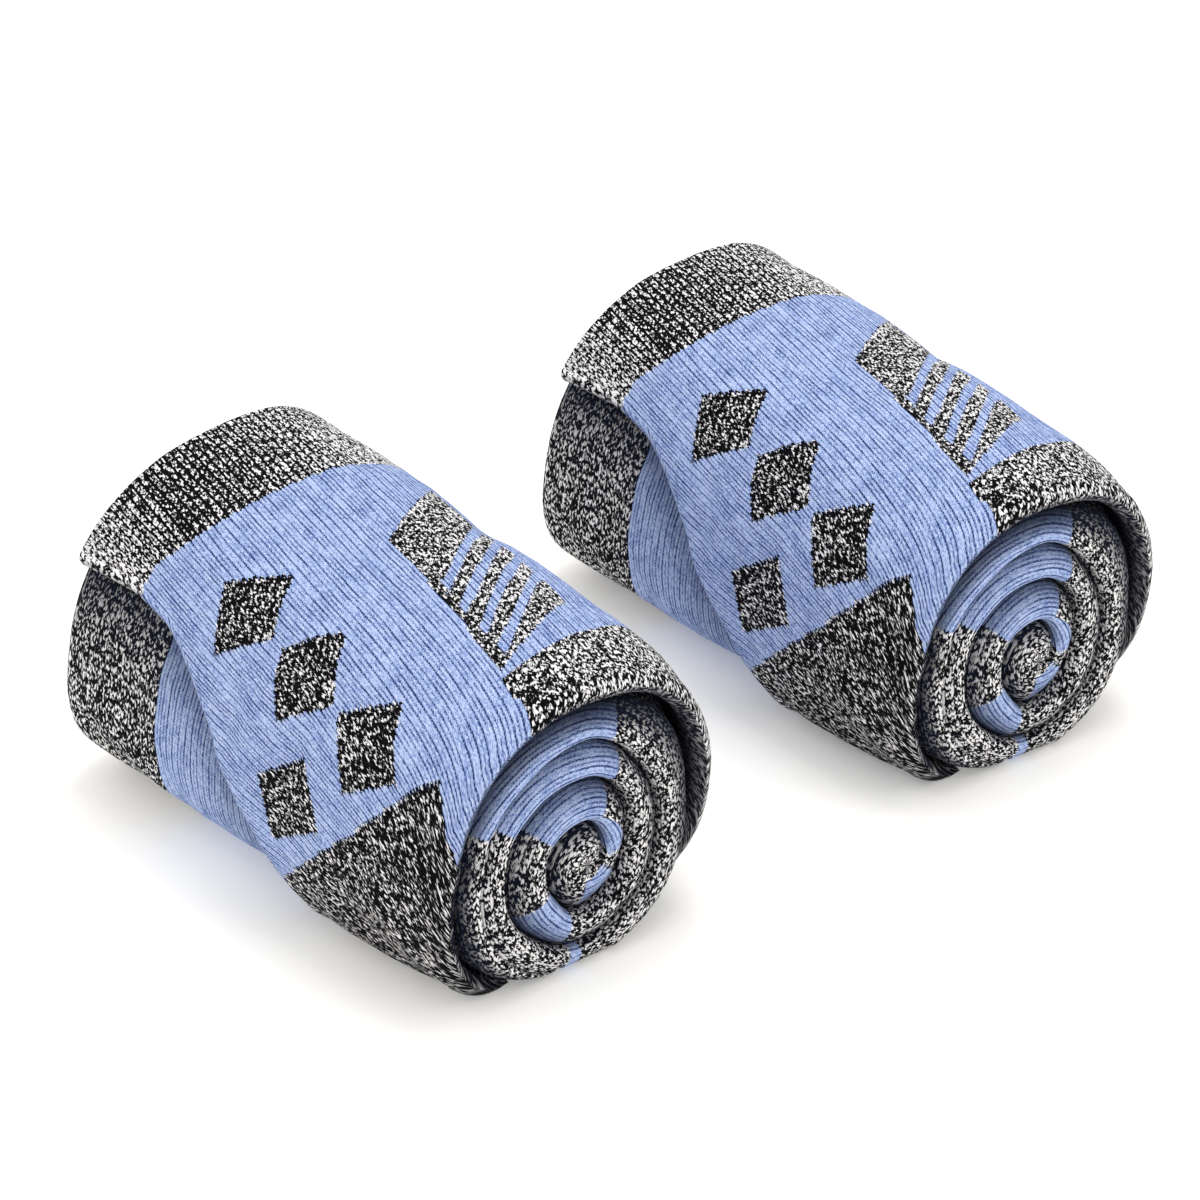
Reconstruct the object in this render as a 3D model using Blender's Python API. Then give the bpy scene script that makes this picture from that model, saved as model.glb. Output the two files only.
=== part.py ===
"""A pair of quarter socks, each rolled up from the toe with its leg laid back over the roll.

Each sock is two solids. The foot roll is the rolled foot: its hidden turns are one rounded solid, and
both ends show the spiral of rounded rims that the folded edges make. The leg is the thick knitted wall
that lies over the roll from the heel, at the near end, to the cuff, at the far end.

Sizes are millimetres until a mesh is made. In a sock's own frame +Y runs from the near end of the roll
to the far end, +X is to the right seen from the near end, and Z is 0 where the sock rests.
"""

import math
from collections import namedtuple

import bmesh
import bpy
import numpy as np
from mathutils import Matrix, Vector

MM = 0.001

# The pair: where the second sock lies, measured in the first one's frame.
SECOND_SOCK_X = 133.9
SECOND_SOCK_Y = 0.8
SECOND_SOCK_TURN = -3.0  # degrees about Z

# The roll.
SECTION_STEPS = 48  # points round a section of the roll
SPIRAL_X, SPIRAL_Z = -1.0, 28.0  # the line that the foot is wound about
SUNK = 1.0  # how far a section would reach below the surface that flattens it
MOST_RADIUS = 100.0  # beyond any section

# An end of the roll: where its rounding meets the side, how far its rims stand out from there, how much
# less of that there is at the top, how square the rounding is, how much of each crease shows, and the
# shares of a turn that have points.
RollEnd = namedtuple("RollEnd", "y outwards rim less_at_top power creased across")
NEAR_END = RollEnd(4.0, -1, 6.0, 0.0, 8, 1.0, (0, 0.15, 0.5, 0.85, 1))
FAR_END = RollEnd(132.0, 1, 9.0, 0.45, 6, 1.0, (0, 0.15, 0.5, 0.85, 1))

# The leg.
GAP = 0.8  # between the leg and the roll
WALL = 4.7  # two layers of cushioned knit
EDGE_WALL = 3.2  # at a folded edge, pressed flatter
EDGE_REACH = 14.0  # how far from the edge the wall is full again
EDGE_STEPS = 26  # points across the leg
CUFF_END_Y = 138.5  # the cuff's end over the middle of the roll
CUFF_SLANT = 0.17  # how much further it lies for each millimetre to the right

# The leg's near end, round the roll: 0 is to the right and 90 is the top.
HeelEnd = namedtuple("HeelEnd", "angle y")
HEEL_END = (
    HeelEnd(-60, 12.0),
    HeelEnd(-20, 5.0),
    HeelEnd(15, 1.0),
    HeelEnd(50, 0.0),
    HeelEnd(90, -1.0),
    HeelEnd(150, -1.0),
    HeelEnd(200, 1.0),
    HeelEnd(240, 6.0),
)
FLOOR_EDGE = 1.3  # height of the leg's tucked edge where it meets the surface
EDGE_ROUNDING = 6.0  # height over which a folded edge becomes full
END_ROUNDING = 6.0  # length over which the wall's ends are rounded
END_SHARE = 0.15  # how much of the wall is left at its very end

# Sections of the roll: half widths to either side, height, how square the outline is, and how much wider
# the left side is at its foot than halfway up.
Section = namedtuple("Section", "y left right top square belly")
SECTIONS = (
    Section(-6, 32.5, 30.5, 65.0, 2.25, 0.05),
    Section(4, 34.0, 32.0, 66.0, 2.3, 0.06),
    Section(18, 36.2, 35.2, 67.5, 2.5, 0.09),
    Section(36, 37.8, 35.5, 68.5, 2.65, 0.09),
    Section(52, 38.7, 35.6, 69.0, 2.72, 0.08),
    Section(66, 40.0, 35.6, 69.0, 2.75, 0.13),
    Section(82, 40.8, 36.2, 69.4, 2.8, 0.14),
    Section(105, 43.0, 37.2, 70.0, 2.8, 0.14),
    Section(130, 44.8, 38.0, 70.5, 2.7, 0.14),
    Section(160, 45.3, 38.0, 70.0, 2.65, 0.14),
)

# The crease between the turns of the spiral, from the toe outwards.
Crease = namedtuple("Crease", "turn radius depth")
CREASES = (
    Crease(-360, 3.0, 0.0),
    Crease(-90, 4.3, 0.0),
    Crease(0, 4.8, 2.5),
    Crease(45, 7.2, 4.0),
    Crease(90, 8.6, 4.5),
    Crease(135, 8.0, 4.5),
    Crease(180, 7.4, 4.5),
    Crease(225, 9.6, 4.5),
    Crease(270, 13.2, 5.0),
    Crease(315, 13.6, 7.5),
    Crease(345, 12.2, 8.0),
    Crease(375, 12.8, 5.5),
    Crease(405, 16.2, 4.5),
    Crease(450, 19.0, 4.5),
    Crease(495, 19.2, 4.5),
    Crease(540, 18.8, 4.5),
    Crease(585, 19.6, 4.5),
    Crease(630, 22.2, 4.5),
    Crease(675, 23.0, 4.5),
    Crease(720, 23.6, 4.5),
    Crease(765, 23.8, 4.5),
    Crease(810, 28.6, 4.0),
    Crease(855, 28.4, 2.5),
    Crease(900, 26.6, 1.5),
    Crease(945, 26.8, 1.2),
)
LAST_TURN = 982.5  # where the outermost turn runs out under the roll

# The leg's two folded edges: the height at which each lies on the roll's side.
Edge = namedtuple("Edge", "y height")
LEFT_EDGE = (
    Edge(-6, FLOOR_EDGE),
    Edge(41, FLOOR_EDGE),
    Edge(47, 6.0),
    Edge(52, 14.0),
    Edge(58, 22.5),
    Edge(65, 29.0),
    Edge(72, 35.0),
    Edge(79, 43.0),
    Edge(88, 50.5),
    Edge(99, 55.5),
    Edge(114, 57.5),
    Edge(145, 56.0),
)
RIGHT_EDGE = (
    Edge(-6, 12.0),
    Edge(30, 15.0),
    Edge(60, 22.0),
    Edge(90, 33.0),
    Edge(120, 43.0),
    Edge(150, 51.0),
)

# Where the sections lie, close together where the left edge climbs.
LEG_STATIONS = (15, 25, 34, 40, 44, 48, 52, 56, 60, 65, 70, 75, 80, 86, 94, 103, 112, 122)
ROLL_STATIONS = (12, 24, 36, 46, 54, 62, 70, 78, 88, 100, 114)

BLUE = (0.225, 0.335, 0.72, 1.0)
MARL = (0.21, 0.205, 0.21, 1.0)


def smooth(rows, key, value, where):
    """Reads a table's column at any place, on a smooth curve through its rows that doesn't overshoot."""
    x = np.array([getattr(row, key) for row in rows], float)
    y = np.array([getattr(row, value) for row in rows], float)
    step = np.diff(x)
    rise = np.diff(y) / step
    slope = np.zeros(len(x))
    same = rise[1:] * rise[:-1] > 0
    slope[1:-1][same] = 2 * rise[1:][same] * rise[:-1][same] / (rise[1:] + rise[:-1])[same]
    slope[0], slope[-1] = rise[0], rise[-1]
    at = np.clip(np.asarray(where, float), x[0], x[-1])
    i = np.clip(np.searchsorted(x, at, side="right") - 1, 0, len(step) - 1)
    t = (at - x[i]) / step[i]
    start = y[i] * (1 + 2 * t) * (1 - t) ** 2 + y[i + 1] * t * t * (3 - 2 * t)
    return start + step[i] * (slope[i] * t * (1 - t) ** 2 - slope[i + 1] * t * t * (1 - t))


def section_radius(angle, y):
    """Distance from the spiral's line to the roll's surface, at an angle in radians."""
    left, right, top, square, belly = (smooth(SECTIONS, "y", name, y) for name in Section._fields[1:])
    half_height = (top + SUNK) / 2
    low, high = np.zeros_like(angle), np.full_like(angle, MOST_RADIUS)
    for _ in range(30):
        radius = (low + high) / 2
        x = SPIRAL_X + radius * np.cos(angle)
        z = SPIRAL_Z + radius * np.sin(angle)
        half_width = np.where(x < 0, left * (1 + belly * (1 - 2 * z / top)), right)
        across = np.abs(x / half_width) ** square + np.abs((z + SUNK) / half_height - 1) ** square
        outside = (across > 1) | (z < 0)
        high = np.where(outside, radius, high)
        low = np.where(outside, low, radius)
    return (low + high) / 2


def roll_point(angle, y):
    """(x, z) on the roll's surface."""
    angle, y = np.broadcast_arrays(np.asarray(angle, float), np.asarray(y, float))
    radius = section_radius(angle, y)
    return np.stack([SPIRAL_X + radius * np.cos(angle), SPIRAL_Z + radius * np.sin(angle)], -1)


def crease_radius(turn, y):
    """Radius of the spiral's crease. Its last turn is the roll's own surface."""
    outer = section_radius(np.radians(turn), np.full_like(turn, y))
    end = section_radius(np.radians(np.array([LAST_TURN])), np.array([float(y)]))[0]
    last = CREASES[-1].turn
    share = np.clip((turn - last) / (LAST_TURN - last), 0, 1)
    inner = smooth(CREASES, "turn", "radius", turn) * (1 - share) + end * share
    return np.where(turn >= LAST_TURN, outer, inner)


def rim_height(turn, across, radius, face):
    """How far a point of an end face stands out from where its rounding meets the side."""
    angle = np.radians(turn)
    share = np.clip(radius / section_radius(angle, np.full_like(turn, face.y)), 0, 1)
    raised = np.clip((share * np.sin(angle) + 1) / 2, 0, 1)
    dome = face.rim * (1 - face.less_at_top * raised**2) * np.sqrt(1 - share**face.power)
    if across < 0.5:
        depth = smooth(CREASES, "turn", "depth", turn)
    else:
        depth = np.where(turn + 360 < LAST_TURN, smooth(CREASES, "turn", "depth", turn + 360), 0)
    round_off = 1 - math.sqrt(1 - (2 * across - 1) ** 2)
    return dome - np.minimum(depth * round_off * face.creased, dome)


def add_face(mesh, corners, sign):
    """One face with its corners in order, or turned over, leaving out any corner that repeats."""
    loop = [corner for k, corner in enumerate(corners) if corner is not corners[k - 1]]
    if len(loop) > 2:
        mesh.faces.new(loop[::sign])


def add_roll_end(mesh, face):
    """The spiral of rims on one end. Returns the loop where it meets the side."""
    step = 360 / SECTION_STEPS
    first, last = -SECTION_STEPS, round(LAST_TURN / step)
    columns = {}

    def point(index, across):
        turn = np.array([index * step])
        inner, outer = crease_radius(turn, face.y), crease_radius(turn + 360, face.y)
        radius = inner * (1 - across) + outer * across
        height = rim_height(turn, across, radius, face)[0]
        x = SPIRAL_X + radius[0] * math.cos(math.radians(turn[0]))
        z = SPIRAL_Z + radius[0] * math.sin(math.radians(turn[0]))
        return mesh.verts.new(Vector((x, face.y + face.outwards * height, max(z, 0))) * MM)

    for index in range(first, last):
        before = columns.get(index - SECTION_STEPS)
        inner = before[-1] if before else point(index, 0)
        columns[index] = [inner] + [point(index, across) for across in face.across[1:]]
    columns[last] = [columns[last - SECTION_STEPS][-1]] * len(face.across)
    for index in range(first, last):
        here, there = columns[index], columns[index + 1]
        for k in range(len(face.across) - 1):
            add_face(mesh, (here[k], there[k], there[k + 1], here[k + 1]), face.outwards)
    core = [columns[index][0] for index in range(first, 0)]
    add_face(mesh, core + columns[first][:0:-1], -face.outwards)
    return [columns[index][-1] for index in range(last - SECTION_STEPS, last)]


def add_band(mesh, ring, next_ring):
    """The faces between two closed rings."""
    for k in range(len(ring)):
        add_face(mesh, (ring[k - 1], next_ring[k - 1], next_ring[k], ring[k]), 1)


def foot_roll_mesh():
    """The rolled foot: one rounded solid between two spiral ends, flat where it rests."""
    mesh = bmesh.new()
    ring = add_roll_end(mesh, NEAR_END)
    far_ring = add_roll_end(mesh, FAR_END)
    turns = LAST_TURN + np.arange(SECTION_STEPS) * 360 / SECTION_STEPS
    for y in ROLL_STATIONS:
        next_ring = [
            mesh.verts.new(Vector((x, y, max(z, 0))) * MM) for x, z in roll_point(np.radians(turns), y)
        ]
        add_band(mesh, ring, next_ring)
        ring = next_ring
    add_band(mesh, ring, far_ring)
    return mesh


def edge_angle(height, y, side):
    """The angle, in radians, at which the roll's surface has this height, on the side -1 or 1."""
    angles = np.radians(np.linspace(-90, 90, 181) if side > 0 else np.linspace(270, 90, 181))
    return np.interp(height, roll_point(angles, y)[:, 1], angles)


def leg_y(angle, x, place):
    """Y of a point of the leg, at a place from 0, the near end, to 1, the cuff's end."""
    near = smooth(HEEL_END, "angle", "y", np.degrees(angle))
    return near + place * (CUFF_END_Y + CUFF_SLANT * x - near)


def leg_section(place):
    """(x, z) on the roll, outward directions and Y for one section, from the left edge."""
    middle = leg_y(math.pi / 2, 0, place)
    angles = []
    for rows, side in ((LEFT_EDGE, -1), (RIGHT_EDGE, 1)):
        y = middle
        for _ in range(4):
            edge = edge_angle(smooth(rows, "y", "height", y), y, side)
            y = leg_y(edge, roll_point(edge, y)[0], place)
        dense = np.linspace(edge, math.pi / 2, 200)
        line = roll_point(dense, np.linspace(y, middle, 200))
        length = np.concatenate([[0], np.cumsum(np.hypot(*np.diff(line, axis=0).T))])
        angles.append(np.interp(np.linspace(0, length[-1], EDGE_STEPS // 2 + 1), length, dense))
    angles = np.concatenate([angles[0], angles[1][-2::-1]])
    y = leg_y(angles, roll_point(angles, middle)[:, 0], place)
    points = roll_point(angles, y)
    turn = 0.01
    along = roll_point(angles + turn, y) - roll_point(angles - turn, y)
    out = np.stack([along[:, 1], -along[:, 0]], -1) / np.hypot(*along.T)[:, None]
    return points, out, y


def leg_ring(mesh, place, fullness, lean):
    """One closed ring of the leg's wall: its outer side from left to right, and its inner side back."""
    points, out, y = leg_section(place)
    from_left = np.concatenate([[0], np.cumsum(np.hypot(*np.diff(points, axis=0).T))])
    inwards = np.clip(np.minimum(from_left, from_left[-1] - from_left) / EDGE_REACH, 0, 1)
    wall = (EDGE_WALL + (WALL - EDGE_WALL) * np.sin(inwards * math.pi / 2))[:, None]
    base = GAP + wall * (1 - fullness) * lean
    outer, inner = points + out * (base + wall * fullness), points + out * base
    ring = []

    def add(flat, along):
        ring.append(mesh.verts.new(Vector((flat[0], along, max(flat[1], 0))) * MM))

    def add_edge(corner, start, end, sign):
        away = np.array([out[corner][1], -out[corner][0]]) * sign
        lifted = np.clip((points[corner][1] - FLOOR_EDGE) / EDGE_ROUNDING, 0, 1)
        bulge = away * (EDGE_WALL / 2 * lifted * fullness)
        for share in (0.25, 0.75):
            add(start[corner] * (1 - share) + end[corner] * share + bulge, y[corner])

    for k in range(len(points)):
        add(outer[k], y[k])
    add_edge(-1, outer, inner, 1)
    for k in reversed(range(len(points))):
        add(inner[k], y[k])
    add_edge(0, inner, outer, -1)
    return ring


def leg_mesh():
    """The leg: a wall over the roll, rounded at its two ends and its two folded edges."""
    mesh = bmesh.new()
    rounding = np.array([0, 0.15, 0.45, 1]) * END_ROUNDING
    stations = np.concatenate([rounding, LEG_STATIONS, CUFF_END_Y - rounding[::-1]])
    rings = []
    for station in stations:
        from_end = min(station, CUFF_END_Y - station, END_ROUNDING) / END_ROUNDING
        fullness = max(END_SHARE, math.sqrt(1 - (1 - from_end) ** 2))
        lean = 0.5 if station > CUFF_END_Y / 2 else 0
        rings.append(leg_ring(mesh, station / CUFF_END_Y, fullness, lean))
    for ring, next_ring in zip(rings, rings[1:]):
        add_band(mesh, ring, next_ring)
    steps = EDGE_STEPS + 1
    for ring, sign in ((rings[0], 1), (rings[-1], -1)):
        outer = ring[:steps]
        right_edge = ring[steps : steps + 2]
        inner = ring[steps + 2 : 2 * steps + 2][::-1]
        left_edge = ring[2 * steps + 2 :]
        add_face(mesh, [outer[-1], *right_edge, inner[-1]], sign)
        add_face(mesh, [inner[0], *left_edge, outer[0]], sign)
        for k in range(steps - 1):
            add_face(mesh, (outer[k], outer[k + 1], inner[k + 1], inner[k]), sign)
    bmesh.ops.triangulate(mesh, faces=mesh.faces, quad_method="SHORT_EDGE")
    return mesh


def finish(mesh, name):
    """A Blender mesh from a bmesh, with its faces turned outwards and shaded smooth."""
    bmesh.ops.recalc_face_normals(mesh, faces=mesh.faces)
    data = bpy.data.meshes.new(name)
    mesh.to_mesh(data)
    mesh.free()
    data.shade_smooth()
    data.set_sharp_from_angle(angle=math.radians(50))
    return data


def knit_material(name, colour):
    material = bpy.data.materials.new(name)
    material.use_nodes = True
    shader = material.node_tree.nodes["Principled BSDF"]
    shader.inputs["Base Color"].default_value = colour
    shader.inputs["Roughness"].default_value = 0.9
    shader.inputs["Metallic"].default_value = 0.0
    return material


def build():
    for leftover in list(bpy.data.objects):
        bpy.data.objects.remove(leftover)
    collection = bpy.data.collections.new("rolled_socks")
    bpy.context.scene.collection.children.link(collection)
    pieces = {
        "leg": (finish(leg_mesh(), "leg"), knit_material("blue_rib_knit", BLUE)),
        "foot_roll": (finish(foot_roll_mesh(), "foot_roll"), knit_material("marl_knit", MARL)),
    }
    turned = Matrix.Rotation(math.radians(SECOND_SOCK_TURN), 4, "Z")
    shifted = Matrix.Translation(Vector((SECOND_SOCK_X, SECOND_SOCK_Y, 0)) * MM)
    places = {"left": Matrix.Identity(4), "right": shifted @ turned}
    points = [vertex.co for data, _ in pieces.values() for vertex in data.vertices]
    corners = [place @ point for place in places.values() for point in points]
    low = Vector([min(corner[k] for corner in corners) for k in range(3)])
    high = Vector([max(corner[k] for corner in corners) for k in range(3)])
    centre = Matrix.Translation(-Vector(((low.x + high.x) / 2, (low.y + high.y) / 2, 0)))
    for side, place in places.items():
        for piece, (data, material) in pieces.items():
            if not data.materials:
                data.materials.append(material)
            node = bpy.data.objects.new(f"{side}_{piece}", data)
            node.matrix_world = centre @ place
            collection.objects.link(node)


build()
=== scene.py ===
"""A pair of cushioned quarter socks, each rolled up from the toe with its leg laid back over the roll.

Every sock is two pieces. The foot roll is one rounded form whose ends show the spiral of folded edges.
The leg is a flattened tube of knit, open at the cuff, that lies over the roll from the heel to the cuff.
Both are knitted in blue rib with zones of black and white marl, stitch by stitch, in their materials.

Sizes are millimetres until a mesh is made. In a sock's own frame +Y runs from the heel end of the roll to
the cuff end, +X is to the right seen from the heel end, and Z is 0 where the sock rests.
"""

import math
from collections import namedtuple

import bmesh
import bpy
import numpy as np
from bpy.props import FloatProperty, FloatVectorProperty, IntProperty, PointerProperty
from mathutils import Matrix, Vector, noise


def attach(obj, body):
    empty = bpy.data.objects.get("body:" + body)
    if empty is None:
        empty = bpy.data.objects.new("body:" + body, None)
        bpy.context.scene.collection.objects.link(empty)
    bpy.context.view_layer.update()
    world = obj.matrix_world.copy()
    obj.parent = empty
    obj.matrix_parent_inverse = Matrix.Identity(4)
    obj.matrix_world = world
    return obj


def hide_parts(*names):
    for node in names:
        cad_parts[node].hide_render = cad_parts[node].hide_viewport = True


bl_info = {
    "name": "Rolled Sock Pair",
    "version": (1, 0, 0),
    "blender": (4, 5, 0),
    "location": "3D View > Sidebar > Socks",
    "description": "Dresses a pair of rolled, cushioned quarter socks in blue rib and marl knit",
    "category": "Add Mesh",
}

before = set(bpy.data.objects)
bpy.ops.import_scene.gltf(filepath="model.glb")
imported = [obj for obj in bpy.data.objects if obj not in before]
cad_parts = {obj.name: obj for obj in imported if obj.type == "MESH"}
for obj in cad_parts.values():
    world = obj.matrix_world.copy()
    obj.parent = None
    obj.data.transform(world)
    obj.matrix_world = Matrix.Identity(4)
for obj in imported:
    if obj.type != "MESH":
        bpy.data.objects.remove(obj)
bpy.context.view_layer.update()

MM = 0.001
BODY = "root"
MERGE = 0.004 * MM
KNIT_MAP = "Knit"  # across the wales, and along them
PLACE_MAP = "Place"  # where on the sock: a roll end's turn and radius, or what its colours go by
SHADE_LAYER = "Shade"  # painted shade, 0 to 1: how deep in a crease, by a fold or in the leg a point lies
MAP_SCALE = 0.01  # of a map for each millimetre or degree

# Where each sock lies: the middle of its roll's heel end, and its turn about Z in degrees.
Sock = namedtuple("Sock", "side x y turn")
SOCKS = (Sock("left", -67.94, -71.33, 0.0), Sock("right", 65.96, -70.53, -3.0))

# ---------------------------------------------------------------------------------------------------
# The roll's shape
# ---------------------------------------------------------------------------------------------------

SPIRAL_X, SPIRAL_Z = -1.0, 28.0  # the line that the foot is wound about
SUNK = 1.0  # how far a section would reach below the surface that flattens it
MOST_RADIUS = 100.0  # beyond any section
LAST_TURN = 982.5  # where the outermost turn runs out under the roll

# An end of the roll: where its rounding meets the side, how far its rims stand out from there, how much
# less of that there is at the top, how square the rounding is, how deep its creases are, and from which
# turn to which the leg's end overhangs the outermost rim, whose outer side is painted in shade there.
RollEnd = namedtuple("RollEnd", "y outwards rim less_at_top power creased lip_from lip_to")
NEAR_END = RollEnd(4.0, -1, 5.6, 0.0, 5, 1.1, 690.0, 1020.0)
FAR_END = RollEnd(132.0, 1, 9.0, 0.45, 6, 1.0, 735.0, 885.0)

# How far the roll is drawn in under the leg's heel end, which leaves a dark crease between them.
Pinch = namedtuple("Pinch", "angle depth")
PINCHES = (
    Pinch(-100, 0.0),
    Pinch(-50, 0.4),
    Pinch(-10, 1.4),
    Pinch(20, 2.0),
    Pinch(50, 2.0),
    Pinch(80, 1.5),
    Pinch(110, 1.1),
    Pinch(180, 1.2),
    Pinch(225, 0.6),
    Pinch(260, 0.0),
)
PINCH_Y, PINCH_LENGTH = 4.0, 10.0

# Sections of the roll: half widths to either side, height, how square the outline is, and how much wider
# the left side is at its foot than halfway up.
Section = namedtuple("Section", "y left right top square belly")
SECTIONS = (
    Section(-6, 32.5, 30.5, 65.0, 2.25, 0.05),
    Section(4, 34.0, 32.0, 66.0, 2.3, 0.06),
    Section(18, 36.2, 35.2, 67.5, 2.5, 0.09),
    Section(36, 37.8, 35.5, 68.5, 2.65, 0.09),
    Section(52, 38.7, 35.6, 69.0, 2.72, 0.08),
    Section(66, 40.0, 35.6, 69.0, 2.75, 0.13),
    Section(82, 40.8, 36.2, 69.4, 2.8, 0.14),
    Section(105, 43.0, 37.2, 70.0, 2.8, 0.14),
    Section(130, 44.8, 38.0, 70.5, 2.7, 0.14),
    Section(160, 45.3, 38.0, 70.0, 2.65, 0.14),
)

# The crease between the turns of the spiral, from the toe outwards.
Crease = namedtuple("Crease", "turn radius depth")
CREASES = (
    Crease(-360, 0.0, 0.0),
    Crease(-90, 0.0, 0.0),
    Crease(0, 5.0, 2.5),
    Crease(45, 7.6, 4.5),
    Crease(90, 9.6, 5.0),
    Crease(135, 9.9, 5.0),
    Crease(180, 9.3, 5.0),
    Crease(225, 9.8, 5.0),
    Crease(270, 13.0, 5.5),
    Crease(315, 13.2, 8.5),
    Crease(345, 12.0, 9.0),
    Crease(375, 13.4, 7.0),
    Crease(405, 16.6, 6.0),
    Crease(450, 20.5, 5.5),
    Crease(495, 22.2, 5.0),
    Crease(540, 20.4, 5.0),
    Crease(585, 19.8, 5.0),
    Crease(630, 21.6, 5.0),
    Crease(675, 21.6, 5.5),
    Crease(720, 21.8, 5.5),
    Crease(765, 24.0, 5.0),
    Crease(810, 29.4, 4.0),
    Crease(855, 28.8, 2.0),
    Crease(900, 27.0, 1.2),
    Crease(945, 27.0, 1.0),
)

# ---------------------------------------------------------------------------------------------------
# The leg's shape
# ---------------------------------------------------------------------------------------------------

GAP = 0.5  # between the leg and the roll
LEFT_WALL, RIGHT_WALL = 4.2, 3.2  # the leg's thickness at its folded edges, pressed flatter
EDGE_REACH = 14.0  # how far from an edge the leg is full again
LEFT_LIFT, LIFT_REACH = 0.9, 7.0  # how far its left fold stands off the roll
CUFF_END_Y = 138.5  # the cuff's end over the middle of the roll
CUFF_SLANT = 0.17  # how much further it lies for each millimetre to the right
FLOOR_EDGE = 1.3  # height of the leg's tucked edge where it meets the surface
EDGE_ROUNDING = 6.0  # height over which a folded edge becomes full
END_ROUNDING = 4.5  # length over which the heel end is rounded
END_LEAN = 0.45  # where the end's tip is, from the leg's inner face to its outer one
PLUMP, PLUMP_LENGTH = 0.22, 7.0  # how much thicker the leg is at its folded heel end

# The leg's heel end, round the roll: 0 is to the right and 90 is the top.
HeelEnd = namedtuple("HeelEnd", "angle y")
HEEL_END = (
    HeelEnd(-60, 12.0),
    HeelEnd(-20, 5.0),
    HeelEnd(15, 1.0),
    HeelEnd(50, 0.0),
    HeelEnd(90, -1.0),
    HeelEnd(150, -1.0),
    HeelEnd(200, 1.0),
    HeelEnd(240, 6.0),
)

# The leg's two folded edges: the height at which each lies on the roll's side.
Edge = namedtuple("Edge", "y height")
LEFT_EDGE = (
    Edge(-6, FLOOR_EDGE),
    Edge(41, FLOOR_EDGE),
    Edge(47, 6.0),
    Edge(52, 14.0),
    Edge(58, 22.5),
    Edge(65, 29.0),
    Edge(72, 35.0),
    Edge(79, 43.0),
    Edge(88, 50.5),
    Edge(99, 55.5),
    Edge(114, 57.5),
    Edge(145, 56.0),
)
RIGHT_EDGE = (
    Edge(-6, 12.0),
    Edge(30, 15.0),
    Edge(60, 22.0),
    Edge(90, 33.0),
    Edge(120, 43.0),
    Edge(150, 51.0),
)


def distance(name, description, default, least, most):
    return FloatProperty(
        name=name, description=description, default=default, min=least, max=most, unit="LENGTH", precision=5
    )


def yarn(name, description, default):
    return FloatVectorProperty(
        name=name, description=description, default=default, subtype="COLOR", size=3, min=0, max=1
    )


def count(name, description, default, least, most):
    return IntProperty(name=name, description=description, default=default, min=least, max=most)


class RolledSockKnit(bpy.types.PropertyGroup):
    """The knit's gauge and yarns"""

    wale_pitch: distance("Wale pitch", "Width of one column of stitches", 0.00105, 0.0003, 0.01)
    course_pitch: distance("Course pitch", "Height of one row of stitches", 0.0008, 0.0003, 0.01)
    relief: distance("Stitch relief", "How far a stitch stands out", 0.0004, 0, 0.002)
    # The blue yarn is painted from its shaded colour through its lit one to a pale one: painted shade down
    # between the stitches, and on its raised fibres painted highlight with the yarn's own paler hairs.
    blue: yarn("Blue yarn", "Colour of the rib yarn where light reaches it", (0.25, 0.345, 0.65))
    blue_pale: yarn("Pale blue", "Colour of the rib yarn's raised fibres", (0.52, 0.62, 0.88))
    blue_shaded: yarn("Deep blue", "Colour of the rib yarn down between the stitches", (0.03, 0.055, 0.21))
    # The light ply is painted from its shaded colour up to its lit one: partly tone that varies at random
    # along the plies, partly painted shade in the grooves and between the plies.
    marl_light: yarn("Light ply", "Colour of the light ply of the marl yarn", (0.98, 0.96, 0.96))
    marl_shaded: yarn("Shaded ply", "Colour of the light ply between the stitches", (0.16, 0.155, 0.16))
    marl_dark: yarn("Dark ply", "Colour of the dark ply of the marl yarn", (0.003, 0.003, 0.004))


class RolledSockShape(bpy.types.PropertyGroup):
    """The cloth's thickness and the meshes' fineness"""

    wall: distance("Leg thickness", "Thickness of the leg, two layers of knit", 0.0047, 0.002, 0.008)
    cloth: distance("Cloth thickness", "Thickness of one layer", 0.002, 0.0005, 0.004)
    softness: distance("Softness", "How far the cloth strays from an even surface", 0.0004, 0, 0.002)
    leg_columns: count("Leg columns", "Points across one side of the leg", 150, 20, 190)
    leg_rows: count("Leg rows", "Rows of points along the leg", 132, 20, 160)
    turn_steps: count("Turn steps", "Points round one turn of the roll", 180, 48, 240)
    rim_steps: count("Rim steps", "Points across one rim of the spiral", 16, 6, 24)


# ---------------------------------------------------------------------------------------------------
# Reading the tables
# ---------------------------------------------------------------------------------------------------


def smooth(rows, key, value, where):
    """Reads a table's column at any place, on a smooth curve through its rows that doesn't overshoot."""
    x = np.array([getattr(row, key) for row in rows], float)
    y = np.array([getattr(row, value) for row in rows], float)
    step = np.diff(x)
    rise = np.diff(y) / step
    slope = np.zeros(len(x))
    same = rise[1:] * rise[:-1] > 0
    slope[1:-1][same] = 2 * rise[1:][same] * rise[:-1][same] / (rise[1:] + rise[:-1])[same]
    slope[0], slope[-1] = rise[0], rise[-1]
    at = np.clip(np.asarray(where, float), x[0], x[-1])
    i = np.clip(np.searchsorted(x, at, side="right") - 1, 0, len(step) - 1)
    t = (at - x[i]) / step[i]
    start = y[i] * (1 + 2 * t) * (1 - t) ** 2 + y[i + 1] * t * t * (3 - 2 * t)
    return start + step[i] * (slope[i] * t * (1 - t) ** 2 - slope[i + 1] * t * t * (1 - t))


def eased(value, start, full):
    """Rises softly from 0 at one value to 1 at another."""
    share = np.clip((value - start) / (full - start), 0, 1)
    return share**2 * (3 - 2 * share)


HALVINGS = 30  # of the span in which a section's radius is looked for


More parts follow.
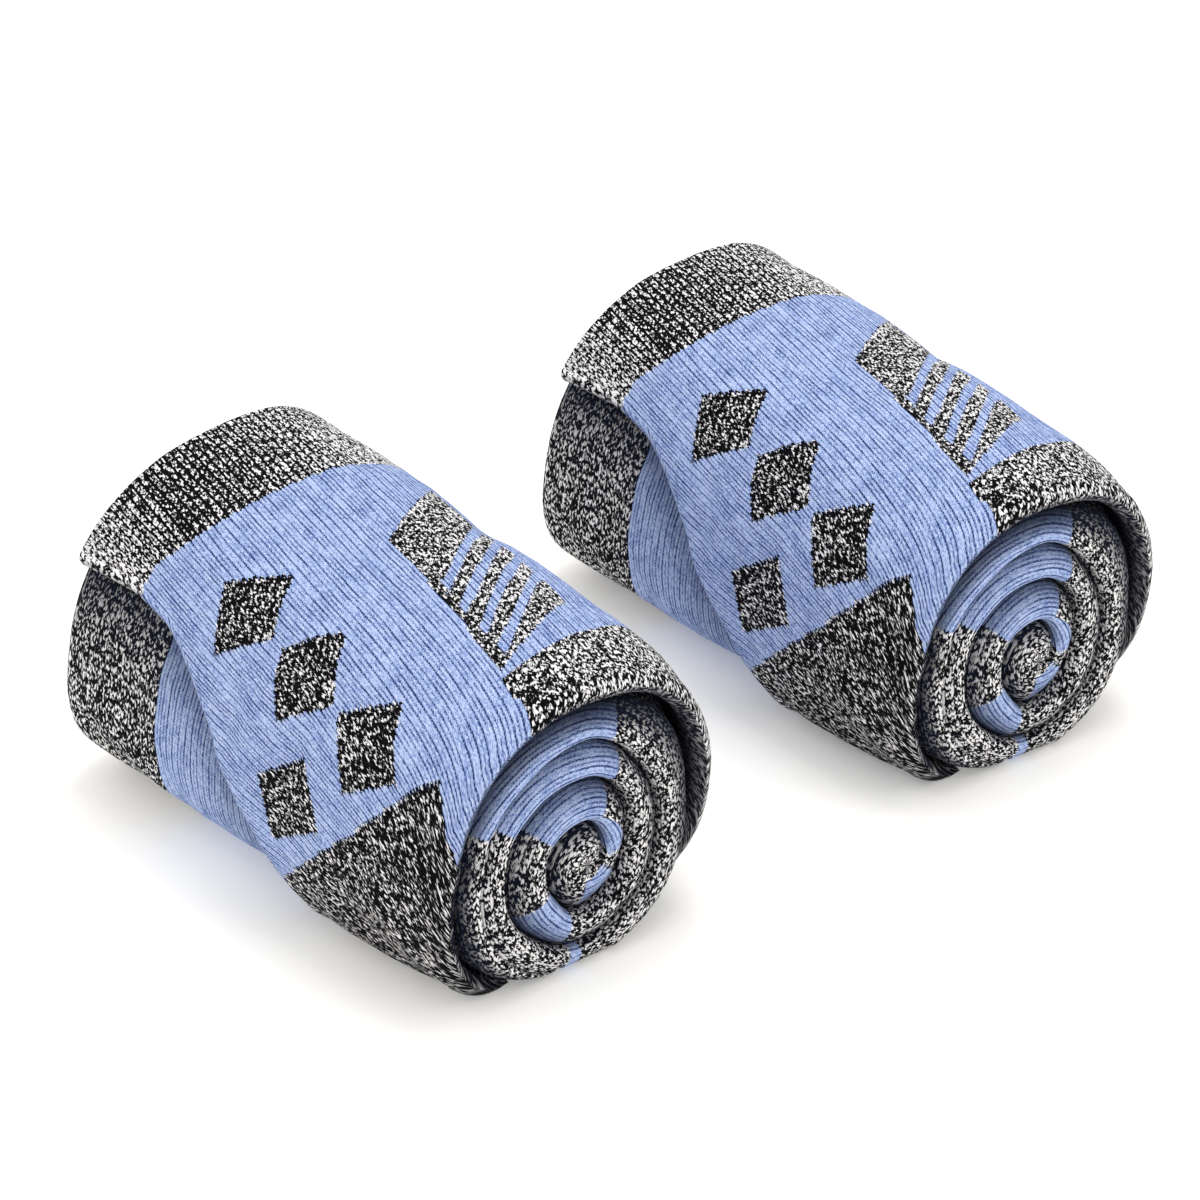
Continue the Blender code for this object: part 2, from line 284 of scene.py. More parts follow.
def section_radius(angle, y):
    """Distance from the spiral's line to the roll's surface, at an angle in radians."""
    angle, y = np.broadcast_arrays(np.asarray(angle, float), np.asarray(y, float))
    left, right, top, square, belly = (smooth(SECTIONS, "y", name, y) for name in Section._fields[1:])
    half_height = (top + SUNK) / 2
    low, high = np.zeros(angle.shape), np.full(angle.shape, MOST_RADIUS)
    for _ in range(HALVINGS):
        radius = (low + high) / 2
        x = SPIRAL_X + radius * np.cos(angle)
        z = SPIRAL_Z + radius * np.sin(angle)
        half_width = np.where(x < 0, left * (1 + belly * (1 - 2 * z / top)), right)
        across = np.abs(x / half_width) ** square + np.abs((z + SUNK) / half_height - 1) ** square
        outside = (across > 1) | (z < 0)
        high = np.where(outside, radius, high)
        low = np.where(outside, low, radius)
    return (low + high) / 2


def pinched_radius(angle, y):
    """Distance from the spiral's line to the roll's own surface, drawn in at its heel end."""
    first = PINCHES[0].angle
    degrees = (np.degrees(angle) - first) % 360 + first
    fade = np.exp(-(((y - PINCH_Y) / PINCH_LENGTH) ** 2))
    return section_radius(angle, y) - smooth(PINCHES, "angle", "depth", degrees) * fade


def roll_point(angle, y, radius_at=section_radius):
    """(x, z) on the roll's surface."""
    radius = radius_at(angle, y)
    return np.stack([SPIRAL_X + radius * np.cos(angle), SPIRAL_Z + radius * np.sin(angle)], -1)


def crease_radius(turn, y, last_turn):
    """Radius of the spiral's crease. From its last turn on, it is the roll's own surface."""
    outer = pinched_radius(np.radians(turn), y)
    end = pinched_radius(math.radians(last_turn), y)
    last = CREASES[-1].turn
    share = np.clip((turn - last) / (last_turn - last), 0, 1)
    inner = smooth(CREASES, "turn", "radius", turn) * (1 - share) + end * share
    return np.where(turn >= last_turn, outer, inner)


def lengths(points):
    """Distance along each line of points, from its first point; the lines run along axis 0."""
    steps = np.linalg.norm(np.diff(points, axis=0), axis=-1)
    return np.concatenate([np.zeros((1, *steps.shape[1:])), np.cumsum(steps, axis=0)])


# ---------------------------------------------------------------------------------------------------
# Meshes
# ---------------------------------------------------------------------------------------------------


def new_mesh():
    mesh = bmesh.new()
    for name in (KNIT_MAP, PLACE_MAP):
        mesh.loops.layers.uv.new(name)
    mesh.verts.layers.float.new(SHADE_LAYER)
    return mesh


def add_sheet(mesh, points, knit, place, shaded, slot=0):
    """Bends a grid over an array of points, with the knit's own coordinates, its place on the sock and
    the shade painted on it, for how deep in a crease it lies."""
    rows, columns = points.shape[:2]
    made = bmesh.ops.create_grid(mesh, x_segments=columns - 1, y_segments=rows - 1, size=0.5)["verts"]
    layers = [(mesh.loops.layers.uv[name], values) for name, values in ((KNIT_MAP, knit), (PLACE_MAP, place))]
    at = {}
    for vertex in made:
        at[vertex] = (round((vertex.co.y + 0.5) * (rows - 1)), round((vertex.co.x + 0.5) * (columns - 1)))
    shade_layer = mesh.verts.layers.float[SHADE_LAYER]
    for vertex, corner in at.items():
        vertex.co = Vector(points[corner]) * MM
        vertex[shade_layer] = shaded[corner]
    for face in {face for vertex in made for face in vertex.link_faces}:
        face.material_index = slot
        face.smooth = True
        for loop in face.loops:
            for layer, values in layers:
                loop[layer].uv = Vector(values[at[loop.vert]]) * MAP_SCALE


# The cloth's soft troughs and, where the depth is above 0, ridges. Each runs from one place on a sock's
# side to another: angles round the roll, where 0 is to the right and 90 is the top, and Y.
Trough = namedtuple("Trough", "angle y to_angle to_y width depth")
TROUGHS = (
    Trough(150, 101, 166, 79, 4.0, -1.04),
    Trough(163, 71, 128, 63, 3.5, -0.78),
    Trough(150, 66, 122, 55, 3.0, 0.45),
    Trough(170, 51, 136, 45, 3.2, -0.91),
    Trough(146, 24, 163, 3, 3.5, -1.17),
    Trough(136, 21, 149, 2, 3.0, 0.65),
    Trough(190, 32, 216, 12, 4.0, -1.04),
    Trough(182, 20, 204, 6, 3.2, 0.65),
    Trough(106, 96, 99, 58, 5.0, -0.52),
    Trough(78, 52, 92, 31, 4.5, -0.59),
    Trough(60, 31, 74, 7, 4.0, -0.65),
    Trough(118, 131, 101, 113, 5.0, -0.59),
    Trough(52, 133, 63, 109, 5.0, -0.65),
    Trough(34, 101, 51, 71, 4.0, -1.04),
    Trough(19, 62, 41, 36, 4.2, -0.91),
    Trough(11, 86, 27, 62, 3.4, -0.78),
    Trough(24, 44, 8, 24, 3.5, 0.52),
    Trough(193, 126, 214, 101, 4.0, -1.04),
    Trough(174, 113, 201, 95, 4.0, -0.78),
    Trough(226, 82, 209, 55, 4.4, -0.91),
    Trough(-12, 41, -31, 66, 4.0, -1.04),
    Trough(1, 96, -24, 121, 4.2, -0.91),
    Trough(-36, 101, -19, 76, 3.8, 0.65),
)
UNDERSIDE = -90.0  # the angle of the roll's underside, where the troughs' angles start
MM_PER_DEGREE = 0.63  # round the middle of a sock's side
TROUGH_RADIUS, TROUGH_FADE = 20.0, 10.0  # the troughs fade out towards the middle of the ends


def trough_moves(points):
    """How the troughs and ridges move points of a sock, away from the line that it's wound about."""
    away = points * (1, 0, 1) - (SPIRAL_X, 0, SPIRAL_Z)
    radius = np.linalg.norm(away, axis=-1)
    angle = (np.degrees(np.arctan2(away[:, 2], away[:, 0])) - UNDERSIDE) % 360 + UNDERSIDE
    places = np.stack([angle * MM_PER_DEGREE, points[:, 1]], -1)
    height = np.zeros(len(points))
    for trough in TROUGHS:
        start = np.array([trough.angle * MM_PER_DEGREE, trough.y])
        way = np.array([trough.to_angle * MM_PER_DEGREE, trough.to_y]) - start
        share = np.clip((places - start) @ way / (way @ way), 0, 1)
        beside = places - start - share[:, None] * way
        height += trough.depth * np.exp(-(beside**2).sum(-1) / trough.width**2)
    height *= np.clip((radius - TROUGH_RADIUS) / TROUGH_FADE, 0, 1)
    return away * (height / np.maximum(radius, 1))[:, None]


# The cloth's swellings: how broad the large and the small ones are, and the large ones' share of them.
LARGE_SWELL, SMALL_SWELL, LARGE_SHARE = 21.0, 7.0, 0.6
SWELLS_APART = Vector((5, 9, 2))  # keeps the small ones from lying on the large ones


def loosen(mesh, amount):
    """Gives the cloth its troughs and ridges, and the shallow swellings of soft cushioned knit."""
    mesh.normal_update()
    moves = []
    folds = trough_moves(np.array([vertex.co for vertex in mesh.verts]) / MM)
    for vertex, fold in zip(mesh.verts, folds):
        place = vertex.co / MM
        large = noise.noise(place / LARGE_SWELL)
        small = noise.noise(place / SMALL_SWELL + SWELLS_APART)
        swell = LARGE_SHARE * large + (1 - LARGE_SHARE) * small
        moves.append(vertex.normal * swell * amount + Vector(fold) * MM)
    for vertex, move in zip(mesh.verts, moves):
        vertex.co += move
        vertex.co.z = max(vertex.co.z, 0)


def place_object(name, data, place=(0, 0, 0), direction=None):
    """A new object in the scene. A direction is where its -Z points."""
    made = bpy.data.objects.new(name, data)
    made.location = place
    if direction is not None:
        made.rotation_euler = Vector(direction).to_track_quat("-Z", "Y").to_euler()
    bpy.context.scene.collection.objects.link(made)
    return made


def finish_piece(mesh, name, sock, materials):
    """A finished object from a bmesh in the sock's own frame, with its place in its mesh."""
    turned = Matrix.Rotation(math.radians(sock.turn), 4, "Z")
    placed = Matrix.Translation(Vector((sock.x, sock.y, 0)) * MM) @ turned
    bmesh.ops.transform(mesh, verts=mesh.verts, matrix=placed)
    data = bpy.data.meshes.new(name)
    mesh.to_mesh(data)
    mesh.free()
    for material in materials:
        data.materials.append(material)
    return place_object(name, data)


# ---------------------------------------------------------------------------------------------------
# The foot roll
# ---------------------------------------------------------------------------------------------------


DEEPER = 6.0  # how much further than the end's own rounding the creases near the middle go in
CREST = 0.7  # below 1, a rim's crest lies nearer to its inner crease


def rim_height(turn, across, radius, face, last_turn):
    """How far a point of an end face stands out from where its rounding meets the side."""
    angle = np.radians(turn)
    share = np.clip(radius / pinched_radius(angle, face.y), 0, 1)
    raised = np.clip((share * np.sin(angle) + 1) / 2, 0, 1)
    dome = face.rim * (1 - face.less_at_top * raised**2) * np.sqrt(1 - share**face.power)
    outer = np.where(turn + 360 < last_turn, smooth(CREASES, "turn", "depth", turn + 360), 0)
    from_crest = 2 * across**CREST - 1
    depth = np.where(from_crest < 0, smooth(CREASES, "turn", "depth", turn), outer) * face.creased
    crease = depth * (1 - np.sqrt(1 - from_crest**2))
    return dome - np.minimum(crease, dome + DEEPER * (1 - share**2))


def spiral_end(shape, face):
    """(points, knit, place, shaded) over the spiral of rims on one end, from its middle outwards; shaded
    is the shade painted in its creases and under the leg's end.
    """
    steps = shape.turn_steps
    last = round(LAST_TURN / 360 * steps)
    last_turn = last * 360 / steps
    turn = (np.arange(-steps, last + 1) * 360 / steps)[None, :]
    across = (0.5 - 0.5 * np.cos(np.linspace(0, math.pi, shape.rim_steps + 1)))[:, None]
    inner = crease_radius(turn, face.y, last_turn)
    outer = crease_radius(turn + 360, face.y, last_turn)
    radius = inner * (1 - across) + outer * across
    turn, across = np.broadcast_arrays(turn, across)
    height = rim_height(turn, across, radius, face, last_turn)
    x = SPIRAL_X + radius * np.cos(np.radians(turn))
    z = SPIRAL_Z + radius * np.sin(np.radians(turn))
    points = np.stack([x, face.y + face.outwards * height, np.maximum(z, 0)], -1)
    along = lengths(points[len(points) // 2])
    knit = np.stack([lengths(points), np.broadcast_to(along, turn.shape)], -1)
    return points, knit, np.stack([turn, radius], -1), rim_shade(turn, across, face, last_turn)


LIP_RISE = 30.0  # over how many degrees the painted shade under the leg's overhanging end begins and ends
DARK_DEPTH = 5.0  # of a crease whose painted shade is wholly dark
# How fast the painted shade lets go of a rim's inner side, its outer side, and its outer side under the
# leg's end.
INNER_HOLD, OUTER_HOLD, LIP_HOLD = 1.5, 0.7, 0.34


def rim_shade(turn, across, face, last_turn):
    """The shade painted on a point of a rim, for how deep in a crease it lies, or under the leg's end. Each
    rim's outer side lies lower than its inner one, so its shade reaches further."""
    inner = smooth(CREASES, "turn", "depth", turn)
    under_lip = np.clip(np.minimum(turn - face.lip_from, face.lip_to - turn) / LIP_RISE, 0, 1)
    next_crease = smooth(CREASES, "turn", "depth", turn + 360)
    outer = np.where(turn + 360 < last_turn, next_crease, DARK_DEPTH * under_lip)
    from_crest = 2 * across**CREST - 1
    depth = np.clip(np.where(from_crest < 0, inner, outer) / DARK_DEPTH, 0, 1)
    hold = np.where(from_crest < 0, INNER_HOLD, np.where(under_lip > 0, LIP_HOLD, OUTER_HOLD))
    return depth * (1 - np.sqrt(1 - from_crest**2)) ** hold


# The part of the roll's side that the leg hides, where its shell is left open: angles and ends.
HIDDEN_FROM, HIDDEN_TO = 62.0, 118.0
HIDDEN_NEAR, HIDDEN_FAR = 22.0, 112.0

FOLD_OUT = 2.5  # how far the leg's folded edges reach beyond their line
FOLD_PAINTED_SHADE, FOLD_SHADE = 0.6, 9.0  # painted shade on the roll beside them: how dark, and how far
FOLD_SHADE_LOW, FOLD_SHADE_FULL = 1.0, 5.0  # heights over which that painted shade begins


def side_of_roll(shape):
    """(points, knit, place, shaded) round the roll's side, from the near end's rounding to the far one's;
    shaded is the shade painted beside the leg's folded edges.
    """
    steps = shape.turn_steps
    turn = (round(LAST_TURN / 360 * steps) + np.arange(steps + 1)) * 360 / steps
    y = np.linspace(NEAR_END.y, FAR_END.y, steps // 2 + 1)[:, None]
    around = roll_point(np.radians(turn)[None, :], y, pinched_radius)
    y = np.broadcast_to(y, around.shape[:-1])
    points = np.stack([around[..., 0], y, np.maximum(around[..., 1], 0)], -1)
    along = lengths(points[len(points) // 2])
    knit = np.stack([y, np.broadcast_to(along, y.shape)], -1)
    left = points[..., 0] < SPIRAL_X

    def edge(at):
        return np.where(left, smooth(LEFT_EDGE, "y", "height", at), smooth(RIGHT_EDGE, "y", "height", at))

    steep = edge(y + 0.5) - edge(y - 0.5)
    beside = np.maximum((edge(y) - points[..., 2]) / np.hypot(1, steep) - FOLD_OUT, 0)
    raised = np.clip((points[..., 2] - FOLD_SHADE_LOW) / (FOLD_SHADE_FULL - FOLD_SHADE_LOW), 0, 1)
    # Painted shade on the roll beside the leg's folds, fading out near the floor.
    shaded = FOLD_PAINTED_SHADE * np.exp(-beside / FOLD_SHADE) * raised
    return points, knit, knit, shaded


def fill_core(mesh):
    """Closes the small gap that the spiral's start leaves, and carries the knit over it."""
    layers = [mesh.loops.layers.uv[name] for name in (KNIT_MAP, PLACE_MAP)]
    rim = [edge for edge in mesh.edges if edge.is_boundary]
    filled = bmesh.ops.holes_fill(mesh, edges=rim, sides=0)["faces"]
    for face in filled:
        face.smooth = True
        for loop in face.loops:
            beside = next(other for other in loop.vert.link_loops if other.face not in filled)
            face.material_index = beside.face.material_index
            for layer in layers:
                loop[layer].uv = beside[layer].uv
    bmesh.ops.triangulate(mesh, faces=filled, ngon_method="BEAUTY")


def under_leg(face):
    """Whether a face of the roll's side lies well under the leg."""
    middle = face.calc_center_median() / MM
    angle = math.degrees(math.atan2(middle.z - SPIRAL_Z, middle.x - SPIRAL_X)) % 360
    return HIDDEN_FROM < angle < HIDDEN_TO and HIDDEN_NEAR < middle.y < HIDDEN_FAR


class RolledSockFootRolls(bpy.types.Operator):
    """Adds each sock's foot, wound from the toe, with a spiral of soft rims on both ends"""

    bl_idname = "rolled_socks.foot_rolls"
    bl_label = "Foot Rolls"

    def execute(self, context):
        shape = context.scene.rolled_sock_shape
        materials = foot_materials(context.scene.rolled_sock_knit)
        for sock in SOCKS:
            mesh = new_mesh()
            for slot, face in enumerate((NEAR_END, FAR_END)):
                add_sheet(mesh, *spiral_end(shape, face), slot=slot)
            bmesh.ops.remove_doubles(mesh, verts=mesh.verts, dist=MERGE)
            add_sheet(mesh, *side_of_roll(shape), slot=2)
            bmesh.ops.remove_doubles(mesh, verts=mesh.verts, dist=MERGE)
            fill_core(mesh)
            bmesh.ops.recalc_face_normals(mesh, faces=mesh.faces)
            loosen(mesh, shape.softness)
            hidden = [face for face in mesh.faces if under_leg(face)]
            bmesh.ops.delete(mesh, geom=hidden, context="FACES")
            piece = finish_piece(mesh, f"{sock.side}_rolled_foot", sock, materials)
            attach(piece, BODY)
            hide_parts(f"{sock.side}_foot_roll")
        return {"FINISHED"}


# ---------------------------------------------------------------------------------------------------
# The leg
# ---------------------------------------------------------------------------------------------------


def edge_angle(height, y, side):
    """The angle, in radians, at which the roll's surface has this height, on the side -1 or 1."""
    angles = np.radians(np.linspace(-90, 90, 181) if side > 0 else np.linspace(270, 90, 181))
    return np.interp(height, roll_point(angles, y)[:, 1], angles)


def leg_y(angle, x, place):
    """Y of a point of the leg, at a place from 0, the near end, to 1, the cuff's end."""
    near = smooth(HEEL_END, "angle", "y", np.degrees(angle))
    return near + place * (CUFF_END_Y + CUFF_SLANT * x - near)


EDGE_PASSES = 4  # an edge's height and its Y depend on each other, so they are worked out in turns
SECTION_STEPS = 200  # steps in which half a section is measured
SLIGHT_TURN = 0.01  # in radians, to either side of where an outward direction is taken


def leg_section(place, columns):
    """(x, z) on the roll, outward directions and Y for one section, from the left edge."""
    middle = leg_y(math.pi / 2, 0, place)
    angles = []
    for rows, side in ((LEFT_EDGE, -1), (RIGHT_EDGE, 1)):
        y = middle
        for _ in range(EDGE_PASSES):
            edge = edge_angle(smooth(rows, "y", "height", y), y, side)
            y = leg_y(edge, roll_point(edge, y)[0], place)
        dense = np.linspace(edge, math.pi / 2, SECTION_STEPS)
        length = lengths(roll_point(dense, np.linspace(y, middle, SECTION_STEPS)))
        angles.append(np.interp(np.linspace(0, length[-1], columns // 2 + 1), length, dense))
    angles = np.concatenate([angles[0], angles[1][-2::-1]])
    y = leg_y(angles, roll_point(angles, middle)[:, 0], place)
    points = roll_point(angles, y)
    along = roll_point(angles + SLIGHT_TURN, y) - roll_point(angles - SLIGHT_TURN, y)
    out = np.stack([along[:, 1], -along[:, 0]], -1) / np.hypot(*along.T)[:, None]
    return points, out, y


FOLD_STEPS = 8  # points round a folded edge
FOLD_ROUND = 0.6  # how far a folded edge stands out, for each millimetre of its thickness
LEAST_HEIGHT = 0.02  # of any point over the surface that the socks rest on
TUCK_THINNER = 0.3  # how much thinner the left fold is where it is tucked under the roll
GAPE = 0.15  # how much of the leg's thickness stays open inside it
LINING_ROWS = 16  # rows of points along its lining
TIP_SHADE, TIP_DEPTH = 0.45, 5.0  # painted shade on the lower side at the heel end, and how far in it is full
LOW_FOLD_PALER, LOW_FOLD_REACH = 0.8, 9.0  # how much less of it there is where the left fold lies low


def lower_shade(station, low, from_left):
    """How much shade is painted on the leg's lower side in a ring, from its right fold to its left one."""
    full = TIP_SHADE + (1 - TIP_SHADE) * min(station / TIP_DEPTH, 1)
    under = full * (1 - LOW_FOLD_PALER * low * np.exp(-((from_left / LOW_FOLD_REACH) ** 2)))
    folding = np.linspace(0, 1, FOLD_STEPS)
    return np.concatenate([folding * under[-1], under[::-1], folding[::-1] * under[0]])


def leg_ring(shape, station, inside=0.0, shut=False):
    """One closed ring of the flattened tube, as (x, y, z, shaded): its upper side from the left, its right
    fold, its lower side back and its left fold. The share inside goes from 0, its outer face, to 1.
    shaded is painted shade: none on the upper side, some on the lower side and full on the lining."""
    points, out, y = leg_section(station / CUFF_END_Y, shape.leg_columns)
    from_left = lengths(points)
    from_right = from_left[-1] - from_left
    to_end = np.clip(station / END_ROUNDING, 0, 1)
    fullness = math.sqrt(1 - (1 - to_end) ** 2)
    wall = shape.wall / MM * (1 + PLUMP * math.exp(-station / PLUMP_LENGTH))
    lifted = np.clip((points[[0, -1], 1] - FLOOR_EDGE) / EDGE_ROUNDING, 0, 1)
    tucked = 1 - TUCK_THINNER * (1 - lifted[0])
    edge = np.where(from_left < from_right, LEFT_WALL * tucked, RIGHT_WALL)
    inwards = np.clip(np.minimum(from_left, from_right) / EDGE_REACH, 0, 1)
    full = (edge + (wall - edge) * np.sin(inwards * math.pi / 2))[:, None]
    lift = LEFT_LIFT * lifted[0] * np.exp(-((from_left / LIFT_REACH) ** 2))[:, None]
    half = full * fullness / 2
    middle = points + out * (GAP + lift + full * (1 - fullness) * END_LEAN + half)
    cloth = inside * shape.cloth / MM
    half = np.maximum(half - cloth * full / wall, GAPE * half) * (not shut)
    upper, lower = middle + out * half, middle - out * half
    swing = np.linspace(0, math.pi, FOLD_STEPS + 2)[1:-1, None]

    def fold(corner, sign, thickness):
        away = np.array([out[corner][1], -out[corner][0]]) * sign
        reach = thickness * FOLD_ROUND * lifted[corner] * fullness - cloth
        up = out[corner] * half[corner] * sign
        return middle[corner] + up * np.cos(swing) + away * reach * np.sin(swing)

    flat = np.concatenate([upper, fold(-1, 1, RIGHT_WALL), lower[::-1], fold(0, -1, LEFT_WALL), upper[:1]])
    along = np.concatenate([y, np.full(FOLD_STEPS, y[-1]), y[::-1], np.full(FOLD_STEPS, y[0]), y[:1]])
    shaded = np.concatenate([0 * y, lower_shade(station, 1 - lifted[0], from_left), [0]])
    # The lining is painted in full shade, and the cuff's edge shades over towards it.
    shaded = shaded * (1 - inside) + inside
    return np.stack([flat[:, 0], along, np.maximum(flat[:, 1], LEAST_HEIGHT), shaded], -1)


LIP, LIP_RINGS = 1.2, 5  # length over which the cuff's edge turns inwards, and the rings over it
TIP_RINGS = 12  # rings over the heel end's rounding


def leg_rings(shape):
    """The rings from the heel end to the cuff, round the cuff's edge, and back along the lining."""
    near = END_ROUNDING * (1 - np.cos(np.linspace(0, math.pi / 2, TIP_RINGS)))
    outer = np.concatenate([near[:-1], np.linspace(END_ROUNDING, CUFF_END_Y - LIP, shape.leg_rows)])
    rings = [leg_ring(shape, station) for station in outer]
    for swing in np.linspace(0, math.pi, LIP_RINGS + 2)[1:-1]:
        rings.append(leg_ring(shape, CUFF_END_Y - LIP + LIP * math.sin(swing), (1 - math.cos(swing)) / 2))
    lining = np.linspace(CUFF_END_Y - LIP, END_ROUNDING, LINING_ROWS)
    rings += [leg_ring(shape, station, 1.0) for station in lining[:-1]]
    return np.array(rings + [leg_ring(shape, lining[-1], 1.0, shut=True)])


# How the knit lies on the leg. Places across it are millimetres to the right of its middle.
WALE_DRIFT = 0.17  # how far the wales drift left for each millimetre towards the heel
HEEL_DRIFT, HEEL_ACROSS = 0.003, -30.0  # how much more on the heel, for each millimetre left of a place
COURSE_CLIMB, CLIMB_REACH = 0.2, 60.0  # how the courses climb to the right, and how far out they do
HEEL_TURN, HEEL_TURN_REACH = 6.0, 8.0  # how far the colours' places turn round the heel end
HEEL_TURN_FROM, HEEL_TURN_FULL = -5.0, -40.0  # across the leg, where that begins and is full
HEEL_SWEEP, HEEL_SWEEP_REACH = 9.0, 12.0  # how far the wales sweep round the heel's left
HEEL_SWEEP_FROM, HEEL_SWEEP_FULL = 5.0, -50.0  # across the leg, where that begins and is full
HEEL_SWEEP_FALL, HEEL_SWEEP_OVER = -60.0, -105.0  # and where it lets go again and is over


def leg_knit(rings, columns):
    """(knit, place) on rings of the leg: across the wales, and along them from the heel. The lower side's
    place mirrors the upper side's, so that colours run on round the folds."""
    around = lengths(rings.transpose(1, 0, 2)).T
    across = around - around[:, columns // 2][:, None]
    fold, lower = columns + FOLD_STEPS // 2, columns + 1 + FOLD_STEPS
    turned_under = 2 * across[TIP_RINGS, fold] - across[:, columns::-1]
    moved_on = turned_under[:, -1:] - across[:, lower + columns][:, None]
    across[:, lower + columns + 1 :] += moved_on
    across[:, lower : lower + columns + 1] = turned_under
    y = rings[..., 1]
    tip = lengths(rings)
    full = TIP_RINGS - 1
    y = np.where(np.arange(len(y))[:, None] < full, y[full] - tip[full] + tip, y)
    mirrored = np.where(np.arange(rings.shape[1]) > fold, 2 * across[TIP_RINGS, fold] - across, across)
    from_heel = np.maximum(y, 0)
    climbed = y - COURSE_CLIMB * np.clip(mirrored, -CLIMB_REACH, CLIMB_REACH)
    heel_drift = HEEL_DRIFT * np.maximum(HEEL_ACROSS - mirrored, 0)
    beside = eased(mirrored, HEEL_SWEEP_FROM, HEEL_SWEEP_FULL)
    swept = beside - eased(mirrored, HEEL_SWEEP_FALL, HEEL_SWEEP_OVER)
    swept = swept * HEEL_SWEEP * np.exp(-from_heel / HEEL_SWEEP_REACH)
    turned = HEEL_TURN * np.exp(-from_heel / HEEL_TURN_REACH)
    turned = turned * eased(mirrored, HEEL_TURN_FROM, HEEL_TURN_FULL)
    knit = np.stack([across - (WALE_DRIFT + heel_drift) * y + swept, climbed], -1)
    return knit, np.stack([mirrored - WALE_DRIFT * y + turned, climbed], -1)


class RolledSockLegs(bpy.types.Operator):
    """Adds each sock's leg, a flattened tube of knit from the heel to the open cuff"""

    bl_idname = "rolled_socks.legs"
    bl_label = "Legs"

    def execute(self, context):
        shape = context.scene.rolled_sock_shape
        material = leg_material(context.scene.rolled_sock_knit)
        rings = leg_rings(shape)
        for sock in SOCKS:
            mesh = new_mesh()
            add_sheet(mesh, rings[..., :3], *leg_knit(rings[..., :3], shape.leg_columns), rings[..., 3])
            bmesh.ops.remove_doubles(mesh, verts=mesh.verts, dist=MERGE)
            bmesh.ops.recalc_face_normals(mesh, faces=mesh.faces)
            loosen(mesh, shape.softness)
            piece = finish_piece(mesh, f"{sock.side}_knit_leg", sock, [material])
            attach(piece, BODY)
            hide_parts(f"{sock.side}_leg")
        return {"FINISHED"}


# ---------------------------------------------------------------------------------------------------
# Materials
# ---------------------------------------------------------------------------------------------------


class Term:
    """A number from a socket of a material's nodes. Arithmetic on it adds Math nodes."""

    def __init__(self, shade, socket):
        self.shade = shade
        self.socket = socket

    def maths(self, operation, *others, **settings):
        inputs = dict(enumerate((self, *others)))
        return self.shade.node("ShaderNodeMath", {"operation": operation, **settings}, inputs)

    def __add__(self, other):
        return self.maths("ADD", other)

    def __radd__(self, other):
        return self.maths("ADD", other)

    def __sub__(self, other):
        return self.maths("SUBTRACT", other)

    def __rsub__(self, other):
        return self.maths("MULTIPLY_ADD", -1, other)

    def __mul__(self, other):
        return self.maths("MULTIPLY", other)

    def __rmul__(self, other):
        return self.maths("MULTIPLY", other)

    def __truediv__(self, other):
        return self.maths("DIVIDE", other)

    def __gt__(self, other):
        return self.maths("GREATER_THAN", other)

    def __lt__(self, other):
        return self.maths("LESS_THAN", other)

    def __pow__(self, power):
        return self.maths("POWER", power)

    def __abs__(self):
        return self.maths("ABSOLUTE")

    def __and__(self, other):
        return self.maths("MINIMUM", other)

    def __or__(self, other):
        return self.maths("MAXIMUM", other)

    def floor(self):
        return self.maths("FLOOR")

    def part(self):
        return self.maths("FRACT")

    def cosine(self):
        return self.maths("COSINE")

    def between(self, low, high):
        """1 between two numbers or Terms, 0 outside."""
        return (self > low) & (self < high)

    def rise(self, low, high):
        """Rises softly from 0 to 1 between two numbers."""
        settings = {"interpolation_type": "SMOOTHSTEP"}
        inputs = {"Value": self, "From Min": low, "From Max": high}
        return self.shade.node("ShaderNodeMapRange", settings, inputs)


class Shade:
    """One material and the nodes that make it."""

    def __init__(self, name):
        self.material = bpy.data.materials.new(name)
        self.material.use_nodes = True
        self.tree = self.material.node_tree
        self.surface = self.tree.nodes["Principled BSDF"]

    def join(self, socket, value):
        """Sets a socket to a value, or links it to a Term."""
        if isinstance(value, Term):
            self.tree.links.new(value.socket, socket)
        else:
            socket.default_value = value

    def node(self, kind, settings=None, inputs=None, output=0):
        """Adds one node: its settings first, then its sockets' values or links."""
        node = self.tree.nodes.new(kind)
        for name, value in (settings or {}).items():
            setattr(node, name, value)
        for name, value in (inputs or {}).items():
            self.join(node.inputs[name], value)
        return Term(self, node.outputs[output])

    def map(self, name):
        """A map's two coordinates, in millimetres or degrees."""
        found = self.node("ShaderNodeUVMap", {"uv_map": name})
        split = self.node("ShaderNodeSeparateXYZ", inputs={"Vector": found})
        return split / MAP_SCALE, Term(self, split.socket.node.outputs[1]) / MAP_SCALE

    def spot(self, x, y, z=0.0):
        return self.node("ShaderNodeCombineXYZ", inputs={"X": x, "Y": y, "Z": z})

    def noise(self, x, y, detail):
        settings = {"noise_dimensions": "2D"}
        inputs = {"Vector": self.spot(x, y), "Scale": 1.0, "Detail": detail, "Roughness": 0.55}
        return self.node("ShaderNodeTexNoise", settings, inputs)

    def chance(self, x, y):
        """An even chance from 0 to 1 for each pair of whole numbers."""
        settings = {"noise_dimensions": "2D"}
        return self.node("ShaderNodeTexWhiteNoise", settings, {"Vector": self.spot(x, y)})

    def colours(self, factor, first, second):
        settings = {"data_type": "RGBA"}
        return self.node("ShaderNodeMix", settings, {0: factor, 6: first, 7: second}, output=2)


def rgba(colour):
    return (*colour, 1.0)


def any_of(masks):
    """1 where any of some Terms is 1."""
    first, *others = masks
    for mask in others:
        first = first | mask
    return first


STITCH_LEAN = 0.9  # how far a stitch's legs fall away to its sides, in courses
# No wale is quite straight: how many wales wide it wanders, and over what lengths across and along.
WANDER, WANDER_ACROSS, WANDER_ALONG = 0.6, 9.0, 14.0

